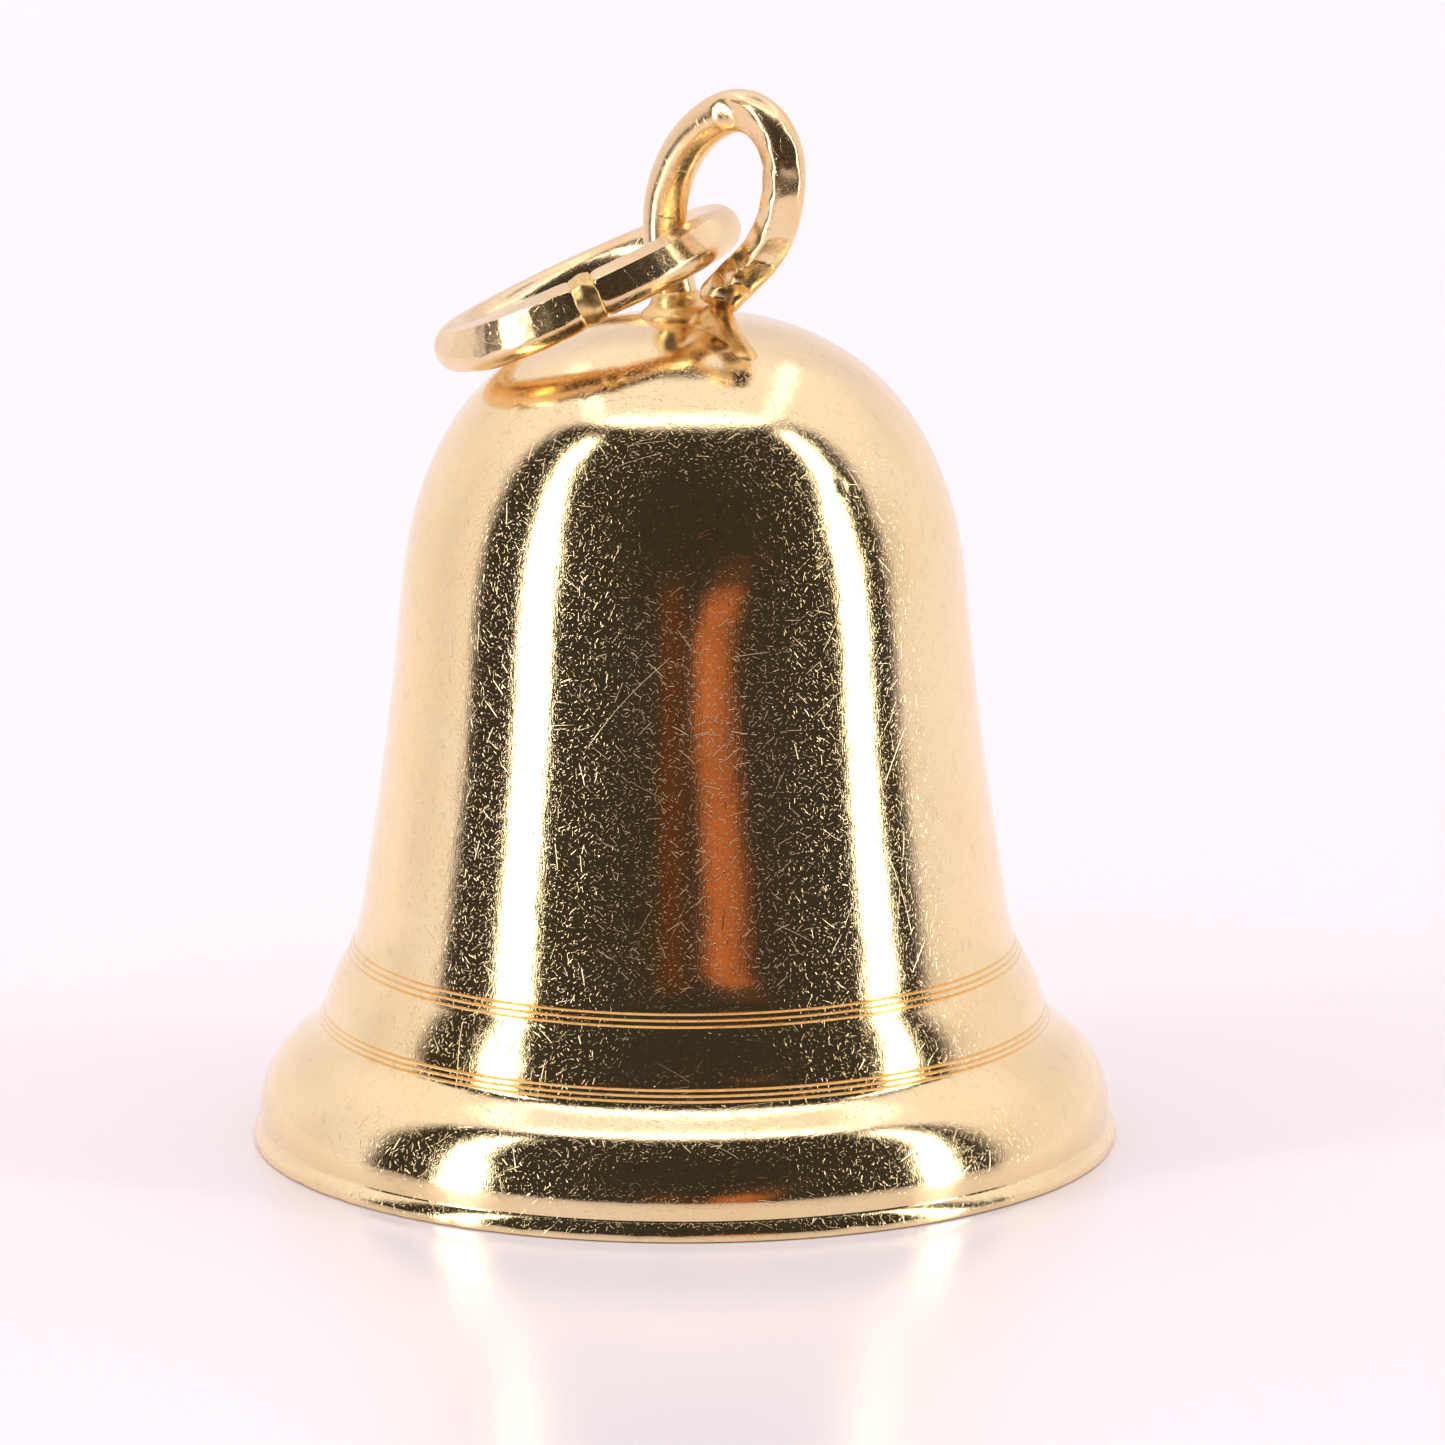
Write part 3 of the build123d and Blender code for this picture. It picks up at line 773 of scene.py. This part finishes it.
wireLook = dict(shellLook, pale=(0.92, 0.72, 0.44, 1), warm=(0.88, 0.62, 0.33, 1), patch=0.0016,
                scratches=[(0.0014, 0.000012, 0.6, 0.3, 0.0, 0.7), (0.0005, 0.000012, 0.8, 0.2, 5.1, 0.7),
                           (0.0002, 0.000012, 0.8, 0.2, 2.2, 0.6)],
                rough=(0.16, 0.28), streakDepth=0.0, grainDepth=0.35, slowDepth=3.0, lineRough=0.1)
solderLook = dict(shellLook, pale=(0.90, 0.62, 0.28, 1), warm=(0.82, 0.50, 0.18, 1), patch=0.0009, grime=0.35,
                  scratches=[(0.0006, 0.000014, 0.5, 0.3, 2.0, 0.7)], rough=(0.28, 0.40),
                  streakDepth=0.0, grainDepth=0.6, slowDepth=3.0, lineRough=0.1)
clapperLook = dict(shellLook, pale=(0.90, 0.69, 0.40, 1), warm=(0.84, 0.60, 0.31, 1), patch=0.0012, grime=0.3,
                   scratches=[(0.0010, 0.000014, 0.6, 0.3, 0.0, 0.8), (0.0004, 0.000014, 0.7, 0.2, 4.0, 0.7)],
                   rough=(0.20, 0.38), streakDepth=0.0, grainDepth=1.0, slowDepth=3.0, lineRough=0.1)
shellGold = goldMaterial('shellGold', shellLook)
wireGold = goldMaterial('wireGold', wireLook)
solderGold = goldMaterial('solderGold', solderLook)
clapperGold = goldMaterial('clapperGold', clapperLook)
print('materials ready')

for piece, material, body, node, slot in (
        (bellShell, shellGold, 'bell', 'bell_shell', 'shell_gold'),
        (bailLoop, wireGold, 'bell', 'bail_loop', 'wire_gold'),
        (bailSolder, solderGold, 'bell', 'bail_solder', 'solder_gold'),
        (staple, wireGold, 'bell', 'clapper_staple', 'wire_gold'),
        (stapleSolder, solderGold, 'bell', 'staple_solder', 'solder_gold'),
        (jumpRing, wireGold, 'hanging_ring', 'jump_ring', 'wire_gold'),
        (ringSolder, solderGold, 'hanging_ring', 'jump_ring_solder', 'solder_gold'),
        (clapperLink, wireGold, 'link', 'clapper_link', 'wire_gold'),
        (clapperRod, clapperGold, 'clapper', 'clapper_rod', 'clapper_gold'),
        (clapperBall, clapperGold, 'clapper', 'clapper_ball', 'clapper_gold')):
    piece.data.materials.clear()
    piece.data.materials.append(material)
    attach(piece, body)
    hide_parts(node)


# floor and studio

studio = dict(paper=(0.985, 0.922, 0.955, 1), sheet=(0.872, 0.808, 0.842, 1), floorRadius=0.9,
              floorReach=0.075, tent=1.0, strip=9.0, dark=0.042, brown=(0.12, 0.045, 0.018, 1),
              warm=(0.66, 0.205, 0.075, 1), hole=(0.10, 0.10, 0.10, 1), fill=(1.0, 0.965, 0.985, 1),
              bars=((-61.8, 5.4, -1), (73.0, 4.4, 1)))   # bars: centre and half width in degrees, lean

bpy.ops.object.select_all(action='DESELECT')
bpy.ops.mesh.primitive_circle_add(vertices=128, radius=studio['floorRadius'], fill_type='NGON')
floor = named('floor')
floorPaint = bpy.data.materials.new('whiteAcrylic')
floorPaint.use_nodes = True
t = floorPaint.node_tree
sheet = t.nodes['Principled BSDF']
sheet.inputs['Base Color'].default_value = studio['sheet']
sheet.inputs['Roughness'].default_value = 0.22
sheet.inputs['IOR'].default_value = 1.49
# seen in the metal, the sheet ends a little way from the bell
path = t.nodes.new('ShaderNodeLightPath')
away = vectorCalc(t, 'LENGTH', t.nodes.new('ShaderNodeTexCoord').outputs['Object'], out=1)
gone = calc(t, 'MULTIPLY', calc(t, 'GREATER_THAN', away, studio['floorReach']), path.outputs['Is Glossy Ray'])
clear = put(t, 'ShaderNodeBsdfTransparent')
either = put(t, 'ShaderNodeMixShader', wires={'Fac': gone, 1: sheet.outputs[0], 2: clear.outputs[0]})
t.links.new(either.outputs[0], t.nodes['Material Output'].inputs['Surface'])
floor.data.materials.append(floorPaint)

world = bpy.data.worlds.new('lightTent')
bpy.context.scene.world = world
world.use_nodes = True
w = world.node_tree
w.nodes.clear()
skyWay = put(w, 'ShaderNodeTexCoord').outputs['Generated']
x, y, z = put(w, 'ShaderNodeSeparateXYZ', wires={'Vector': skyWay}).outputs
ax = calc(w, 'ABSOLUTE', x)
# the open front: dark, up to an edge that bows over the bell
edge = calc(w, 'ADD', -0.235, calc(w, 'MULTIPLY', ramp(w, ax, 0.12, 0.72), 0.33))
edge = calc(w, 'ADD', calc(w, 'MULTIPLY', edge, ramp(w, z, 0.12, 0.52)),
            calc(w, 'MULTIPLY', ramp(w, z, 0.52, 0.12), 0.06))
openFront = ramp(w, calc(w, 'SUBTRACT', y, edge), -0.02, 0.02, 1.0, 0.0)
# two standing light bars, left and right
turn = calc(w, 'ARCTAN2', x, calc(w, 'MULTIPLY', y, -1.0))


def bar(centre, spread, side):
    lifted = ramp(w, z, 0.2, 0.85)
    middle = calc(w, 'ADD', math.radians(centre), calc(w, 'MULTIPLY', lifted, math.radians(10 * side)))
    narrowed = calc(w, 'MULTIPLY', lifted, math.radians(spread * 0.55))
    reach = calc(w, 'SUBTRACT', math.radians(spread), narrowed)
    off = calc(w, 'ABSOLUTE', calc(w, 'SUBTRACT', turn, middle))
    mask = ramp(w, calc(w, 'SUBTRACT', off, reach), -0.025, 0.025, 1.0, 0.0)
    return calc(w, 'MULTIPLY', mask, ramp(w, z, 0.80, 0.87, 1.0, 0.0))


bars = calc(w, 'MAXIMUM', *[bar(*item) for item in studio['bars']])
# the ceiling's frame of strips and its camera hole, in ceiling coordinates
up = calc(w, 'MAXIMUM', z, 0.05)
cx, cy = calc(w, 'DIVIDE', x, up), calc(w, 'DIVIDE', y, up)
bow = calc(w, 'ADD', -0.15, calc(w, 'MULTIPLY', calc(w, 'MULTIPLY', cx, cx), 0.48))
front = ramp(w, calc(w, 'ABSOLUTE', calc(w, 'SUBTRACT', cy, bow)), 0.015, 0.055, 1.0, 0.0)
front = calc(w, 'MULTIPLY', front, ramp(w, calc(w, 'ABSOLUTE', cx), 0.42, 0.60, 1.0, 0.0))
aside = calc(w, 'ABSOLUTE', calc(w, 'SUBTRACT', calc(w, 'ABSOLUTE', cx), 0.51))
sides = ramp(w, aside, 0.025, 0.07, 1.0, 0.0)
sides = calc(w, 'MULTIPLY', sides,
             calc(w, 'MULTIPLY', ramp(w, cy, 0.0, 0.08), ramp(w, cy, 0.85, 1.05, 1.0, 0.0)))
ceiling = calc(w, 'MULTIPLY', calc(w, 'MAXIMUM', front, calc(w, 'MULTIPLY', sides, 0.4)),
               calc(w, 'GREATER_THAN', z, 0.3))
ceiling = calc(w, 'MULTIPLY', ceiling, 0.38)
hx = calc(w, 'DIVIDE', cx, 0.22)
hy = calc(w, 'DIVIDE', calc(w, 'SUBTRACT', cy, 0.43), 0.10)
hole = calc(w, 'ADD', calc(w, 'MULTIPLY', hx, hx), calc(w, 'MULTIPLY', hy, hy))
hole = calc(w, 'MULTIPLY', ramp(w, hole, 0.7, 1.3, 1.0, 0.0), calc(w, 'GREATER_THAN', z, 0.3))
# a warm patch and a brown one in the dark opening
pinch = ramp(w, calc(w, 'ABSOLUTE', calc(w, 'SUBTRACT', z, 0.038)), 0.001, 0.012, 0.4, 1.0)
warmMiddle = calc(w, 'ADD', 0.215, calc(w, 'MULTIPLY', z, 0.5))
warmX = calc(w, 'DIVIDE', calc(w, 'ABSOLUTE', calc(w, 'SUBTRACT', x, warmMiddle)), pinch)
warmUp = calc(w, 'MULTIPLY', ramp(w, z, -0.09, -0.06), ramp(w, z, 0.11, 0.20, 1.0, 0.12))
warmUp = calc(w, 'MULTIPLY', warmUp, ramp(w, z, 0.24, 0.36, 1.0, 0.0))
ahead = ramp(w, y, -0.3, -0.5)
warm = calc(w, 'MULTIPLY', ramp(w, warmX, 0.08, 0.15, 1.0, 0.0), calc(w, 'MULTIPLY', warmUp, ahead))
warm = calc(w, 'MULTIPLY', warm, ramp(w, noise(w, skyWay, 16.0, 2.0), 0.36, 0.56, 0.45, 1.0))
brownX = calc(w, 'ABSOLUTE', calc(w, 'ADD', x, 0.08))
brown = calc(w, 'MULTIPLY', ramp(w, brownX, 0.02, 0.11, 1.0, 0.0),
             calc(w, 'MULTIPLY', ramp(w, z, 0.10, 0.30, 1.0, 0.0), ahead))


def tinted(level, red, green, blue):
    return (level * red, level * green, level * blue, 1)


# pale walls, a little uneven and lighter towards the top
tent = mixColours(w, tinted(studio['tent'], 1, 0.93, 0.98), tinted(studio['tent'], 0.84, 0.77, 0.81),
                  ramp(w, noise(w, skyWay, 1.6, 1.0), 0.45, 0.75))
tent = vectorCalc(w, 'SCALE', tent, ramp(w, z, 0.35, 0.80, 1.0, 1.13))
room = mixColours(w, tinted(studio['dark'], 1, 0.87, 0.74), studio['brown'], brown)
room = mixColours(w, room, studio['warm'], warm)
tent = mixColours(w, tent, room, openFront)
tent = mixColours(w, tent, studio['hole'], hole)
tent = mixColours(w, tent, tinted(studio['strip'], 1, 1, 0.97), calc(w, 'MAXIMUM', bars, ceiling, clamp=True))
ray = put(w, 'ShaderNodeLightPath')
tent = mixColours(w, tent, studio['fill'], ray.outputs['Is Diffuse Ray'])
tent = mixColours(w, tent, studio['paper'], ray.outputs['Is Camera Ray'])
shine = put(w, 'ShaderNodeBackground', {}, {'Strength': 1.0}, {'Color': tent})
w.links.new(shine.outputs[0], put(w, 'ShaderNodeOutputWorld').inputs['Surface'])

bpy.context.scene.view_settings.view_transform = 'Standard'
print('studio ready')
